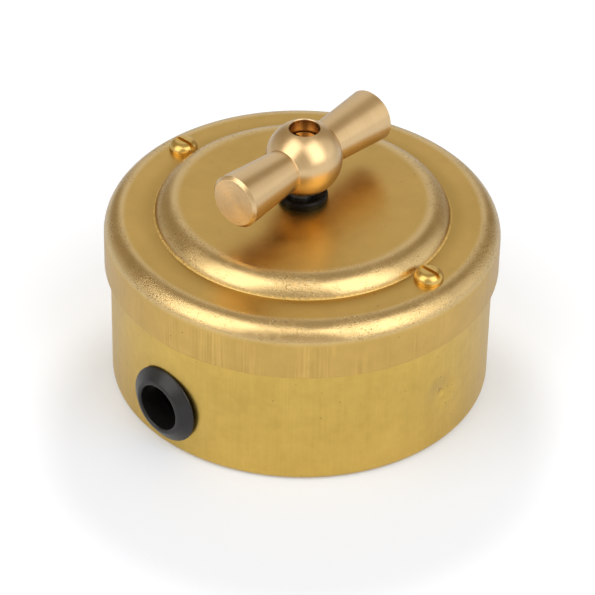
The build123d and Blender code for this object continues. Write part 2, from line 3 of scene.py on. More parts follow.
import bpy
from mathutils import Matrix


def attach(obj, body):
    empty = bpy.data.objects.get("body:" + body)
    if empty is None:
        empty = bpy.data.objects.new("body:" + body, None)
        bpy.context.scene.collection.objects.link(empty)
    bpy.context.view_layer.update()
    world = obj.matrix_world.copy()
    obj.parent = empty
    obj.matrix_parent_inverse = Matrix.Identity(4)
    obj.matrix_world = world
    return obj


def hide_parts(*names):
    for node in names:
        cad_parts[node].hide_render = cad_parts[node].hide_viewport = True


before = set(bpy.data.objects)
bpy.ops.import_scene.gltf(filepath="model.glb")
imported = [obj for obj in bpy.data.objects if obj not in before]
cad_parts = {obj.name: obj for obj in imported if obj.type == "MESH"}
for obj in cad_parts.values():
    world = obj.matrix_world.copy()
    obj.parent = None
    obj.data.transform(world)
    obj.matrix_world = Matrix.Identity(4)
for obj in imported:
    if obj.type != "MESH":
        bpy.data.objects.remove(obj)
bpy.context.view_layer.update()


# Base cup: the round cup that stands on the wall, with a hole in its side for the cable grommet.
# It is drawn from brass sheet in one stroke, so its wall has fine upright lines and a few pits. Its
# floor is punched for the wall screws and the rivets, and a knock has left a small dent in its wall.
class Signal:
    """A socket of a node tree, so that a finish's maths reads as plain arithmetic."""

    def __init__(self, tree, socket=None):
        self.tree = tree
        self.socket = socket

    def node(self, kind, settings=None, inputs=None, output=0):
        """Adds a node of this type, with its settings set before its inputs."""
        made = self.tree.nodes.new(kind)
        for name, value in (settings or {}).items():
            setattr(made, name, value)
        for name, value in (inputs or {}).items():
            if isinstance(value, Signal):
                self.tree.links.new(value.socket, made.inputs[name])
            else:
                made.inputs[name].default_value = value
        return Signal(self.tree, made.outputs[output])

    def other(self, output):
        """Another output of the same node."""
        return Signal(self.tree, self.socket.node.outputs[output])

    def maths(self, operation, first, second=0.0):
        return self.node("ShaderNodeMath", {"operation": operation}, {0: first, 1: second})

    def __add__(self, more):
        return self.maths("ADD", self, more)

    def __radd__(self, more):
        return self.maths("ADD", more, self)

    def __sub__(self, less):
        return self.maths("SUBTRACT", self, less)

    def __rsub__(self, more):
        return self.maths("SUBTRACT", more, self)

    def __mul__(self, times):
        return self.maths("MULTIPLY", self, times)

    def __rmul__(self, times):
        return self.maths("MULTIPLY", times, self)

    def __pow__(self, power):
        return self.maths("POWER", self, power)

    def rises(self, low, high):
        """0 where this is below low, 1 where it is above high, smooth between them."""
        return self.node(
            "ShaderNodeMapRange",
            {"interpolation_type": "SMOOTHSTEP"},
            {"Value": self, "From Min": low, "From Max": high},
        )

    def stretched(self, across, along, up):
        """A vector with its three parts multiplied by these."""
        return self.node(
            "ShaderNodeVectorMath", {"operation": "MULTIPLY"}, {0: self, 1: (across, along, up)}
        )

    def towards(self, x, y, z):
        """How far this vector reaches along a direction."""
        return self.node(
            "ShaderNodeVectorMath", {"operation": "DOT_PRODUCT"}, {0: self, 1: (x, y, z)}, "Value"
        )

    def clouds(self, scale, detail=2.0, roughness=0.5):
        """Noise from 0 to 1, with its middle at a half."""
        return self.node(
            "ShaderNodeTexNoise",
            {"noise_dimensions": "3D"},
            {"Vector": self, "Scale": scale, "Detail": detail, "Roughness": roughness},
        )

    def specks(self, scale, size, share):
        """1 in small round spots, in this share of the cells of a grid of loose points."""
        cells = self.node("ShaderNodeTexVoronoi", {}, {"Vector": self, "Scale": scale}, "Distance")
        lot = cells.node("ShaderNodeSeparateColor", {}, {"Color": cells.other("Color")})
        chosen = lot.rises(1 - share - 0.01, 1 - share)
        return chosen * (1 - cells.rises(size * 0.4, size))

    def tinted(self, low, high):
        """A colour between two, by this signal."""
        return self.node(
            "ShaderNodeMix",
            {"data_type": "RGBA", "clamp_factor": True},
            {0: self, 6: (*low, 1.0), 7: (*high, 1.0)},
            2,
        )

    def over(self, under, colour):
        """A colour laid over another where this is 1."""
        return self.node(
            "ShaderNodeMix",
            {"data_type": "RGBA", "clamp_factor": True},
            {0: self, 6: under, 7: (*colour, 1.0)},
            2,
        )

    def relief(self, depth, under=None):
        """A bumped normal from this height, in metres at a height of 1."""
        inputs = {"Height": self, "Distance": depth, "Strength": 1.0}
        if under is not None:
            inputs["Normal"] = under
        return self.node("ShaderNodeBump", {}, inputs)

    def shown(self, kind="ShaderNodeOutputMaterial"):
        """Links this shader to the surface of the tree's output."""
        self.tree.links.new(self.socket, self.tree.nodes.new(kind).inputs["Surface"])


def new_finish(name):
    """An empty material, and its object coordinates as the first signal."""
    material = bpy.data.materials.new(name)
    material.use_nodes = True
    material.node_tree.nodes.clear()
    coords = Signal(material.node_tree).node("ShaderNodeTexCoord", output="Object")
    return material, coords


def finish_with(colour, roughness, normal, metallic, specular=0.5, coat=0.0):
    """Ends a material in one Principled surface, with an even, thin and slightly dull coat on top."""
    surface = {"Base Color": colour, "Roughness": roughness, "Normal": normal, "Metallic": metallic}
    surface.update({"Specular IOR Level": specular, "Coat Weight": coat, "Coat Roughness": 0.3})
    colour.node("ShaderNodeBsdfPrincipled", {}, surface, "BSDF").shown()


def first_ring(name, radius, middle, corners, about="Z"):
    """Starts a turned or pressed piece as one ring of edges, selected in edit mode."""
    bpy.ops.object.select_all(action="DESELECT")
    bpy.ops.mesh.primitive_circle_add(
        vertices=corners,
        radius=radius,
        fill_type="NOTHING",
        location=middle,
        rotation=(math.radians(90) if about == "Y" else 0, 0, 0),
    )
    ring = bpy.context.object
    ring.name = ring.data.name = name
    bpy.ops.object.transform_apply(location=True, rotation=True, scale=True)
    bpy.ops.object.mode_set(mode="EDIT")
    bpy.ops.mesh.select_all(action="SELECT")
    return ring


def select_ring(piece, radius, place, middle, about):
    """Selects the one ring of edges at this radius and distance along the axis."""
    axis = "XYZ".index(about)

    def on_ring(corner):
        apart = [c - m for c, m in zip(corner.co, middle)]
        along = apart.pop(axis)
        return abs(math.hypot(*apart) - radius) < 2e-6 and abs(along - place) < 2e-6

    mesh = piece.data
    bpy.ops.object.select_all(action="DESELECT")
    bpy.context.view_layer.objects.active = piece
    piece.select_set(True)
    for part in (mesh.vertices, mesh.edges, mesh.polygons):
        part.foreach_set("select", [False] * len(part))
    ring = {corner.index for corner in mesh.vertices if on_ring(corner)}
    for edge in mesh.edges:
        edge.select = edge.vertices[0] in ring and edge.vertices[1] in ring


def turned(name, steps, middle, corners, about="Z", start_cap=False, end_cap=False):
    """Draws a ring through (radius, distance along the axis) steps, one extrude and scale for each."""
    spin = {"Z": (0, 0, 1), "Y": (0, 1, 0)}[about]

    def at(distance):
        return tuple(m + s * distance for m, s in zip(middle, spin))

    radius, place = steps[0]
    piece = first_ring(name, radius, at(place), corners, about)
    for next_radius, next_place in steps[1:]:
        move = tuple(s * (next_place - place) for s in spin)
        bpy.ops.mesh.extrude_edges_move(TRANSFORM_OT_translate={"value": move})
        grow = next_radius / radius
        scale = tuple(1.0 if s else grow for s in spin)
        bpy.ops.transform.resize(value=scale, center_override=at(next_place))
        radius, place = next_radius, next_place
    bpy.ops.mesh.select_all(action="SELECT")
    bpy.ops.mesh.remove_doubles(threshold=1e-6)
    bpy.ops.mesh.select_all(action="DESELECT")
    bpy.ops.object.mode_set(mode="OBJECT")
    for capped, step in ((start_cap, steps[0]), (end_cap, steps[-1])):
        if capped:
            select_ring(piece, *step, middle, about)
            bpy.ops.object.mode_set(mode="EDIT")
            bpy.ops.mesh.edge_face_add()
            bpy.ops.object.mode_set(mode="OBJECT")
    bpy.ops.object.mode_set(mode="EDIT")
    bpy.ops.mesh.select_all(action="SELECT")
    bpy.ops.mesh.normals_make_consistent(inside=False)
    bpy.ops.mesh.select_all(action="DESELECT")
    bpy.ops.object.mode_set(mode="OBJECT")
    return piece


def round_ring(piece, radius, place, width, steps, middle=(0, 0, 0), about="Z"):
    """Bevels the one ring of edges at this radius and distance along the axis."""
    select_ring(piece, radius, place, middle, about)
    bpy.ops.object.mode_set(mode="EDIT")
    bpy.ops.mesh.select_mode(type="EDGE")
    bpy.ops.mesh.bevel(offset=width, segments=steps, profile=0.5, affect="EDGES", clamp_overlap=False)
    bpy.ops.mesh.select_all(action="DESELECT")
    bpy.ops.object.mode_set(mode="OBJECT")


def apply_modifier(piece, kind, **settings):
    """Adds a modifier with these settings and applies it."""
    bpy.ops.object.select_all(action="DESELECT")
    bpy.context.view_layer.objects.active = piece
    piece.select_set(True)
    modifier = piece.modifiers.new(kind.lower(), kind)
    for name, value in settings.items():
        setattr(modifier, name, value)
    bpy.ops.object.modifier_apply(modifier=modifier.name)


def cut(piece, cutter):
    """Takes the cutter's shape out of the piece, and removes the cutter."""
    apply_modifier(piece, "BOOLEAN", operation="DIFFERENCE", solver="EXACT", object=cutter)
    bpy.data.objects.remove(cutter)


def drill(piece, radius, start, end, corners=64, about="Z"):
    """Cuts a round hole from start to end, two points on its axis."""
    length = math.dist(start, end)
    middle = tuple((a + b) / 2 for a, b in zip(start, end))
    bpy.ops.object.select_all(action="DESELECT")
    bpy.ops.mesh.primitive_cylinder_add(
        vertices=corners,
        radius=radius,
        depth=length,
        location=middle,
        rotation=(math.radians(90) if about == "Y" else 0, 0, 0),
    )
    cut(piece, bpy.context.object)


def dress(piece, material, body, slot, *nodes):
    """Smooths the piece between its edges, gives it its finish and puts it in place of its CAD nodes."""
    bpy.ops.object.select_all(action="DESELECT")
    bpy.context.view_layer.objects.active = piece
    piece.select_set(True)
    bpy.ops.object.shade_smooth_by_angle(angle=math.radians(32))
    apply_modifier(piece, "WEIGHTED_NORMAL", keep_sharp=True, weight=50)
    piece.data.materials.clear()
    piece.data.materials.append(material)
    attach(piece, body)
    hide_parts(*nodes)


cup_radius = 0.0378
cup_top = 0.033
sheet = 0.001
floor_bend = 0.0015
case_corners = 256
wall_rows = 21
wall_row = 0.0015
entry_height = 0.0102
entry_radius = 0.0064
fixing_circle = 0.029
fixing_radius = 0.00225
screw_circle = 0.03225
screw_turn = math.radians(2)
earth_circle = 0.0299
earth_turn = math.radians(-40)
rivet_radius = 0.00162
drill_past = 0.002
dent_height = 0.013
dent_depth = 0.0003
dent_ball_radius = 0.0022
sag_depth = 0.0004
sag_inner = 0.0009
sag_outer = 0.0046
cup_dark = (0.61, 0.403, 0.088)
cup_light = (0.79, 0.540, 0.132)
pit_brown = (0.24, 0.14, 0.03)

cup_material, spot = new_finish("drawn_brass_cup")
lines = spot.stretched(1, 1, 0.03).clouds(2600, 3, 0.6)
broad_lines = spot.stretched(1, 1, 0.12).clouds(320, 2, 0.5)
patches = spot.clouds(70, 4, 0.6)
mottle = spot.clouds(420, 3, 0.6)
grain = spot.clouds(3200, 2, 0.5)
pits = spot.specks(900, 0.20, 0.09) * spot.clouds(130, 2, 0.5).rises(0.42, 0.60)
tone = 0.5 + (patches - 0.5) * 1.2 + (mottle - 0.5) * 0.8
tone = tone + (lines - 0.5) * 0.45 + (broad_lines - 0.5) * 0.4
colour = (pits * 0.7).over(tone.tinted(cup_dark, cup_light), pit_brown)
roughness = 0.33 + (patches - 0.5) * 0.16 + (grain - 0.5) * 0.14
from_dent = spot.node(
    "ShaderNodeVectorMath", {"operation": "DISTANCE"}, {0: spot, 1: (cup_radius, 0.0, dent_height)}, "Value"
)
sag = 1 - from_dent.rises(sag_inner, sag_outer)
normal = (sag * -1).relief(sag_depth)
normal = ((mottle - 0.5) * 2).relief(0.00001, normal)
normal = ((lines - 0.5) * 1.0 + (grain - 0.5) * 0.5 - pits * 2).relief(0.000006, normal)
finish_with(colour, roughness, normal, metallic=1.0, coat=0.1)

wall_steps = [(cup_radius, cup_top - wall_row * row) for row in range(wall_rows)]
base_cup = turned("base_cup_shell", [*wall_steps, (cup_radius, 0)], (0, 0, 0), case_corners, end_cap=True)
round_ring(base_cup, cup_radius, 0, floor_bend, 8)
apply_modifier(base_cup, "SOLIDIFY", thickness=sheet, offset=-1, use_even_offset=True)
entry_start, entry_end = (0, -0.045, entry_height), (0, -0.030, entry_height)
drill(base_cup, entry_radius, entry_start, entry_end, 96, "Y")
for side in (1, -1):
    y = fixing_circle * side
    drill(base_cup, fixing_radius, (0, y, -drill_past), (0, y, sheet + drill_past))
rivet_spots = [(screw_circle, screw_turn), (screw_circle, screw_turn + math.pi), (earth_circle, earth_turn)]
for circle, turn in rivet_spots:
    x, y = circle * math.cos(turn), circle * math.sin(turn)
    drill(base_cup, rivet_radius, (x, y, -drill_past), (x, y, sheet + drill_past), 48)
bpy.ops.object.select_all(action="DESELECT")
bpy.ops.mesh.primitive_uv_sphere_add(
    segments=64,
    ring_count=32,
    radius=dent_ball_radius,
    location=(cup_radius - dent_depth + dent_ball_radius, 0, dent_height),
    rotation=(0, math.radians(90), 0),
)
cut(base_cup, bpy.context.object)
dress(base_cup, cup_material, "case", "case_brass", "base_cup")


# Cover: the stepped cap that slips over the cup, with a flat ledge and a raised plateau.
# It is pressed from the same sheet. The press leaves upright lines on its skirt, an orange-peel
# grain on the two stretched shoulders, and tool marks at the plateau's foot. A thin highlight is
# painted along that crease, broken by the marks, and the ledge next to it is painted darker for the
# shade there.
skirt_low = 0.02585
skirt_edge_rounding = 0.00025
cover_radius = 0.0390
ledge_height = 0.0370
rim_rounding = 0.0040
foot_radius = 0.0291
foot_rounding = 0.0002
plateau_inner = 0.0244
plateau_corner = 0.028064
plateau_height = 0.0404
plateau_rounding = 0.00333
bush_hole = 0.0041
cover_dark = (0.545, 0.346, 0.091)
cover_light = (0.735, 0.480, 0.137)
shoulder_light = (0.81, 0.63, 0.36)
pore_brown = (0.26, 0.16, 0.05)
fleck_brown = (0.26, 0.14, 0.03)
# Painted shade beside the plateau's foot:
crease_shade_brown = (0.30, 0.16, 0.02)
# Painted highlight along the plateau's foot:
foot_highlight_yellow = (0.80, 0.55, 0.16)

cover_material, spot = new_finish("pressed_brass_cover")
axes = spot.node("ShaderNodeSeparateXYZ", {}, {"Vector": spot}, "X")
height = axes.other("Z")
radius = (axes * axes + axes.other("Y") * axes.other("Y")) ** 0.5
skirt_high = ledge_height - rim_rounding
rim_inner = cover_radius - rim_rounding
on_skirt = 1 - height.rises(skirt_high - 0.0005, skirt_high + 0.0010)
rim_shoulder = radius.rises(rim_inner - 0.0005, rim_inner + 0.0006)
rim_shoulder = rim_shoulder * height.rises(skirt_high + 0.0002, skirt_high + 0.0016)
inside_foot = 1 - radius.rises(foot_radius - 0.0001, foot_radius + 0.0002)
above_ledge = height.rises(ledge_height - 0.0001, ledge_height + 0.0002)
plateau_shoulder = radius.rises(plateau_inner - 0.0008, plateau_inner + 0.0008) * inside_foot * above_ledge
shoulders = rim_shoulder + plateau_shoulder
at_ledge = height.rises(ledge_height - 0.0004, ledge_height - 0.0001)
on_ledge = at_ledge * (1 - height.rises(ledge_height + 0.0001, ledge_height + 0.0003))

lines = spot.stretched(1, 1, 0.025).clouds(2400, 3, 0.6)
broad_lines = spot.stretched(1, 1, 0.04).clouds(500, 2, 0.5)
clusters = spot.stretched(1, 1, 0.3).clouds(150, 2, 0.5).rises(0.42, 0.62)
patches = spot.clouds(60, 3, 0.55)
smudges = spot.clouds(190, 4, 0.62)
peel = spot.clouds(5200, 2, 0.6)
grain = spot.clouds(3600, 2, 0.5)
rough_skin = shoulders * spot.clouds(110, 3, 0.6).rises(0.36, 0.62)
pores = spot.specks(1900, 0.43, 0.38) * rough_skin
flecks = spot.specks(700, 0.18, 0.08) * spot.clouds(90, 2, 0.5).rises(0.45, 0.60)
# Painted shade: the ledge is darker and browner next to the plateau's foot, for the shade and dark
# reflection in that crease.
crease_shade = on_ledge * (1 - radius.rises(foot_radius + 0.0002, foot_radius + 0.0039))
crease_shade = crease_shade * (0.30 + (smudges - 0.5) * 0.5)
# Painted highlight: a thin pale, less metallic line along the crease at the plateau's foot, broken into
# dashes by the tool marks, so it shines whatever the lamps.
foot_highlight = radius.rises(foot_radius - 0.00022, foot_radius - 0.00010)
foot_highlight = foot_highlight * (1 - radius.rises(foot_radius + 0.00008, foot_radius + 0.00018)) * at_ledge
marks = spot.stretched(1, 1, 0.02).clouds(3600, 2, 0.6).rises(0.40, 0.60)
foot_highlight = foot_highlight * (0.45 + marks * 0.55)

tone = 0.5 + (patches - 0.5) * 1.0 + (smudges - 0.5) * 1.1
tone = tone + on_skirt * clusters * ((lines - 0.5) * 2.4 + (broad_lines - 0.5) * 1.0)
colour = (flecks * 0.6).over(tone.tinted(cover_dark, cover_light), fleck_brown)
colour = crease_shade.over(colour, crease_shade_brown)
colour = (shoulders * 0.5 + rough_skin * (peel - 0.5) * 2.6).over(colour, shoulder_light)
colour = (pores * 0.65).over(colour, pore_brown)
colour = foot_highlight.over(colour, foot_highlight_yellow)
roughness = 0.33 + (smudges - 0.5) * 0.22 + (grain - 0.5) * 0.12 - shoulders * 0.09
normal = ((peel - 0.5) * (shoulders * 0.3 + rough_skin * 0.7) - pores * 0.3).relief(0.00006)
normal = ((lines - 0.5) * on_skirt * 1.6 + (grain - 0.5) * 0.5).relief(0.000007, normal)
finish_with(colour, roughness, normal, metallic=1 - foot_highlight * 0.85, coat=0.1)

cover = turned(
    "cover_shell",
    [
        (cover_radius, skirt_low),
        (cover_radius, ledge_height),
        (foot_radius, ledge_height),
        (plateau_corner, plateau_height),
        (bush_hole, plateau_height),
    ],
    (0, 0, 0),
    case_corners,
)
round_ring(cover, cover_radius, ledge_height, rim_rounding, 18)
round_ring(cover, plateau_corner, plateau_height, plateau_rounding, 18)
round_ring(cover, foot_radius, ledge_height, foot_rounding, 4)
apply_modifier(cover, "SOLIDIFY", thickness=sheet, offset=-1, use_even_offset=True)
round_ring(cover, cover_radius, skirt_low, skirt_edge_rounding, 4)
dress(cover, cover_material, "case", "case_brass", "cover")


# Cover screws: two round-head slotted screws that hold the cover down on the pillars inside.
# They are turned from brass and polished, which leaves fine rings about each screw's own axis.
def polished_brass(name, turned_about, low, high, worn):
    """Bright turned brass with fine rings about an upright axis at this x and y."""
    material, spot = new_finish(name)
    axes = spot.node("ShaderNodeSeparateXYZ", {}, {"Vector": spot}, "X")
    x, y = axes - turned_about[0], axes.other("Y") - turned_about[1]
    radius = (x * x + y * y) ** 0.5
    rings = spot.node(
        "ShaderNodeTexNoise", {"noise_dimensions": "1D"}, {"W": radius, "Scale": 9000.0, "Detail": 2.0}
    )
    smears = spot.clouds(700, 3, 0.6)
    colour = (smears * 1.4 - 0.2).tinted(low, high)
    roughness = worn + (smears - 0.5) * 0.14
    finish_with(colour, roughness, (rings - 0.5).relief(0.000003), metallic=1.0)
    return material


def cut_slot(screw, head_top, turn):
    """Cuts the screwdriver's slot into a head, with a block whose middle is at the top of the head."""
    bpy.ops.object.select_all(action="DESELECT")
    bpy.ops.mesh.primitive_cube_add(size=1, location=head_top, rotation=(0, 0, turn))
    slot_block = bpy.context.object
    slot_block.scale = (slot_length, slot_width, slot_depth * 2)
    cut(screw, slot_block)


shank_radius = 0.0015
shank_end = 0.0280
head_radius = 0.00285
head_height = 0.0020
head_top = ledge_height + head_height
head_rounding = 0.00165
head_edge = 0.00006
slot_length = 0.008
slot_width = 0.0008
slot_depth = 0.0009
screw_dark = (0.62, 0.40, 0.10)
screw_light = (0.82, 0.58, 0.20)
for side, turn in (("right", screw_turn), ("left", screw_turn + math.pi)):
    x, y = screw_circle * math.cos(turn), screw_circle * math.sin(turn)
    screw_steps = [
        (shank_radius, shank_end),
        (shank_radius, ledge_height),
        (head_radius, ledge_height),
        (head_radius, head_top),
    ]
    screw = turned("cover_screw_" + side, screw_steps, (x, y, 0), 64, start_cap=True, end_cap=True)
    round_ring(screw, head_radius, head_top, head_rounding, 12, (x, y, 0))
    cut_slot(screw, (x, y, head_top), screw_turn)
    sharp = math.radians(50)
    apply_modifier(screw, "BEVEL", width=head_edge, segments=2, limit_method="ANGLE", angle_limit=sharp)
    head_brass = polished_brass("screw_brass_" + side, (x, y), screw_dark, screw_light, 0.30)
    dress(screw, head_brass, "case", "screw_brass", "cover_screws")


# Cable grommet: a black rubber ring that holds the case wall in its groove and keeps the cable from
# its edge. It is moulded, with a sloping flange outside and a thinner one inside, and is pushed in
# from outside. The heights of its rings are along Y, and outside is towards -Y.
grommet_bore = 0.00475
bore_rounding = 0.0004
groove_radius = 0.0063
groove_inner = -0.035927
groove_outer = -0.03788
inner_flange_radius = 0.0076
inner_flange_face = -0.034327
inner_flange_rounding = 0.0005
outer_flange_radius = 0.0080
outer_rim = -0.03818
outer_rim_rounding = 0.000259
crown_radius = 0.0056
crown_face = -0.03988
crown_rounding = 0.000382
rubber_dark = (0.006, 0.0055, 0.0055)
rubber_light = (0.018, 0.017, 0.016)

rubber, spot = new_finish("grommet_rubber")
mottle = spot.clouds(900, 3, 0.6)
dust = spot.specks(1500, 0.10, 0.05)
colour = (mottle * 0.6 + dust * 0.6).tinted(rubber_dark, rubber_light)
finish_with(colour, 0.32 + (mottle - 0.5) * 0.2, (mottle - 0.5).relief(0.000012), 0.0, specular=0.5)

grommet_axis = (0, 0, entry_height)
grommet = turned(
    "cable_grommet_ring",
    [
        (grommet_bore, inner_flange_face),
        (inner_flange_radius, inner_flange_face),
        (inner_flange_radius, groove_inner),
        (groove_radius, groove_inner),
        (groove_radius, groove_outer),
        (outer_flange_radius, groove_outer),
        (outer_flange_radius, outer_rim),
        (crown_radius, crown_face),
        (grommet_bore, crown_face),
        (grommet_bore, inner_flange_face),
    ],
    grommet_axis,
    128,
    "Y",
)
round_ring(grommet, outer_flange_radius, outer_rim, outer_rim_rounding, 8, grommet_axis, "Y")
round_ring(grommet, crown_radius, crown_face, crown_rounding, 10, grommet_axis, "Y")
round_ring(grommet, grommet_bore, crown_face, bore_rounding, 8, grommet_axis, "Y")
round_ring(grommet, inner_flange_radius, inner_flange_face, inner_flange_rounding, 4, grommet_axis, "Y")
dress(grommet, rubber, "case", "black_rubber", "cable_grommet")


# Spindle bush: the black ring under the handle, which centres the spindle in the cover.
# It is moulded in hard plastic, and a nut holds it against the cover from inside.
bush_bore = 0.00306
bush_shank_radius = 0.0040
bush_foot = 0.0376
bush_head_radius = 0.0049
bush_head_top = 0.0420
bush_head_rounding = 0.0007
bush_dark = (0.003, 0.0025, 0.002)
bush_light = (0.009, 0.008, 0.007)

bush_plastic, spot = new_finish("bush_plastic")
mottle = spot.clouds(1600, 3, 0.6)
colour = mottle.tinted(bush_dark, bush_light)
finish_with(colour, 0.25 + (mottle - 0.5) * 0.2, (mottle - 0.5).relief(0.000008), 0.0, specular=0.14)

bush = turned(
    "spindle_bush_ring",
    [
        (bush_bore, bush_foot),
        (bush_shank_radius, bush_foot),
        (bush_shank_radius, plateau_height),
        (bush_head_radius, plateau_height),
        (bush_head_radius, bush_head_top),
        (bush_bore, bush_head_top),
        (bush_bore, bush_foot),
    ],
    (0, 0, 0),
    128,
)
round_ring(bush, bush_head_radius, bush_head_top, bush_head_rounding, 8)
dress(bush, bush_plastic, "case", "black_plastic", "spindle_bush")


# Handle: a ball with two flared arms, turned in one piece from brass bar about the line of its arms.
# The tool leaves fine rings round the arms and the ball and circles on the two ends. The well in the
# ball's top is bored for the screw that clamps the handle on its spindle.
handle_height = 0.0498
handle_turn = math.radians(3.4)
ball_radius = 0.00755
ball_steps = 44
arm_reach = 0.0206
arm_end = 0.0054
arm_root = 0.0043
end_chamfer = 0.0006
seam_rounding = 0.000085
spindle_bore = 0.00302
spindle_bore_start = 0.0410
spindle_bore_end = 0.04685
screw_hole = 0.0016
well_radius = 0.0030
well_floor = 0.0517
well_mouth = 0.05653
mouth_flare = 0.0015
handle_dark = (0.71, 0.495, 0.24)
handle_light = (0.85, 0.615, 0.335)
well_shade_brown = (0.40, 0.20, 0.06)

handle_material, spot = new_finish("turned_brass_handle")
along = spot.towards(-math.sin(handle_turn), math.cos(handle_turn), 0)
across = spot.towards(math.cos(handle_turn), math.sin(handle_turn), 0)
axes = spot.node("ShaderNodeSeparateXYZ", {}, {"Vector": spot}, "X")
height = axes.other("Z")
up = height - handle_height
from_axis = (across * across + up * up) ** 0.5
lathe = spot.node("ShaderNodeCombineXYZ", {}, {"X": along, "Y": from_axis, "Z": 0.0}, "Vector")
fine = lathe.clouds(32000, 1, 0.5)
coarse = lathe.clouds(5000, 2, 0.5)
patches = spot.clouds(160, 3, 0.5)
tone = 0.5 + (fine - 0.5) * 0.3 + (coarse - 0.5) * 0.7 + (patches - 0.5) * 0.6
radius = (axes * axes + axes.other("Y") * axes.other("Y")) ** 0.5
# Painted shade: the inside of the screw well is coloured dark brown, for the shade in the hole.
well_shade = 1 - radius.rises(well_radius + 0.00002, well_radius + 0.00012)
well_shade = well_shade * height.rises(well_floor - 0.0004, well_floor - 0.0001)
colour = (well_shade * 0.8).over(tone.tinted(handle_dark, handle_light), well_shade_brown)
on_ends = along.maths("ABSOLUTE", along).rises(arm_reach - 0.0003, arm_reach - 0.0001)
roughness = 0.31 + (coarse - 0.5) * 0.10 + (patches - 0.5) * 0.08 - on_ends * 0.06
normal = ((fine - 0.5) * (0.8 + on_ends * 8) + (coarse - 0.5) * 0.5).relief(0.0000035)
finish_with(colour, roughness, normal, metallic=1.0, coat=0.4)

root_angle = math.asin(arm_root / ball_radius)
root_place = math.sqrt(ball_radius**2 - arm_root**2)
ball_step = (math.pi - 2 * root_angle) / ball_steps
ball_angles = [root_angle + ball_step * step for step in range(1, ball_steps)]
handle = turned(
    "turned_handle",
    [
        (arm_end - end_chamfer, -arm_reach),
        (arm_end, end_chamfer - arm_reach),
        (arm_root, -root_place),
        *[(ball_radius * math.sin(angle), -ball_radius * math.cos(angle)) for angle in ball_angles],
        (arm_root, root_place),
        (arm_end, arm_reach - end_chamfer),
        (arm_end - end_chamfer, arm_reach),
    ],
    (0, 0, handle_height),
    160,
    "Y",
    start_cap=True,
    end_cap=True,
)
for side in (1, -1):
    round_ring(handle, arm_root, root_place * side, seam_rounding, 4, (0, 0, handle_height), "Y")
handle.rotation_euler = (0, 0, handle_turn)
bpy.ops.object.select_all(action="DESELECT")
bpy.context.view_layer.objects.active = handle
handle.select_set(True)
bpy.ops.object.transform_apply(location=False, rotation=True, scale=False)
bore = turned(
    "handle_bore",
    [
        (spindle_bore, spindle_bore_start),
        (spindle_bore, spindle_bore_end),
        (screw_hole, spindle_bore_end),
        (screw_hole, well_floor),
        (well_radius, well_floor),
        (well_radius, well_mouth),
        (well_radius + mouth_flare, well_mouth + mouth_flare),
    ],
    (0, 0, 0),
    96,
    start_cap=True,
    end_cap=True,
)
cut(handle, bore)
dress(handle, handle_material, "handle_and_spindle", "handle_brass", "handle")


# Handle screw: a slotted cheese-head screw down in the ball's well.
# It is turned brass, and it clamps the handle and a small washer on the tapped end of the spindle.
handle_screw_end = 0.03975
handle_head_radius = 0.00275
handle_head_foot = 0.0522
handle_head_top = 0.0540
handle_head_rounding = 0.0002
well_screw_dark = (0.60, 0.36, 0.12)
well_screw_light = (0.80, 0.56, 0.25)
handle_screw = turned(
    "handle_screw_piece",
    [
        (shank_radius, handle_screw_end),
        (shank_radius, handle_head_foot),
        (handle_head_radius, handle_head_foot),
        (handle_head_radius, handle_head_top),
    ],
    (0, 0, 0),
    64,
    start_cap=True,
    end_cap=True,
)
round_ring(handle_screw, handle_head_radius, handle_head_top, handle_head_rounding, 4)
cut_slot(handle_screw, (0, 0, handle_head_top), handle_turn)
well_brass = polished_brass("well_screw_brass", (0, 0), well_screw_dark, well_screw_light, 0.20)
dress(handle_screw, well_brass, "handle_and_spindle", "screw_brass", "handle_screw")


# Parts inside the case: the spindle and its cam, the pillars, posts, nuts and contacts, and the
# ceramic block that carries them on the floor. They are turned, stamped, moulded or fired, and screws,
# rivets and press fits hold them. They stay as the CAD has them, each in its own metal or moulding.
def plain_metal(name, low, high, worn, line_scale):
    """Machined or rolled metal: fine lines in one direction, smudges and a soft grain."""
    material, spot = new_finish(name)
    lines = spot.stretched(1, 1, 0.06).clouds(line_scale, 2, 0.6)
    smudges = spot.clouds(260, 3, 0.6)
    grain = spot.clouds(4000, 2, 0.5)
    colour = (0.5 + (lines - 0.5) * 0.7 + (smudges - 0.5) * 0.9).tinted(low, high)
    roughness = worn + (smudges - 0.5) * 0.2 + (grain - 0.5) * 0.1
    normal = ((lines - 0.5) + (grain - 0.5) * 0.5).relief(0.000006)
    finish_with(colour, roughness, normal, metallic=1.0)
    return material


def moulding(name, low, high, worn, scale):
    """Moulded or fired insulation: mottled, with a slightly uneven skin."""
    material, spot = new_finish(name)
    mottle = spot.clouds(scale, 4, 0.6)
    fine = spot.clouds(scale * 9, 2, 0.5)
    colour = (0.5 + (mottle - 0.5) * 1.3 + (fine - 0.5) * 0.4).tinted(low, high)
    roughness = worn + (mottle - 0.5) * 0.2
    normal = ((mottle - 0.5) + (fine - 0.5) * 0.3).relief(0.00001)
    finish_with(colour, roughness, normal, metallic=0.0)
    return material


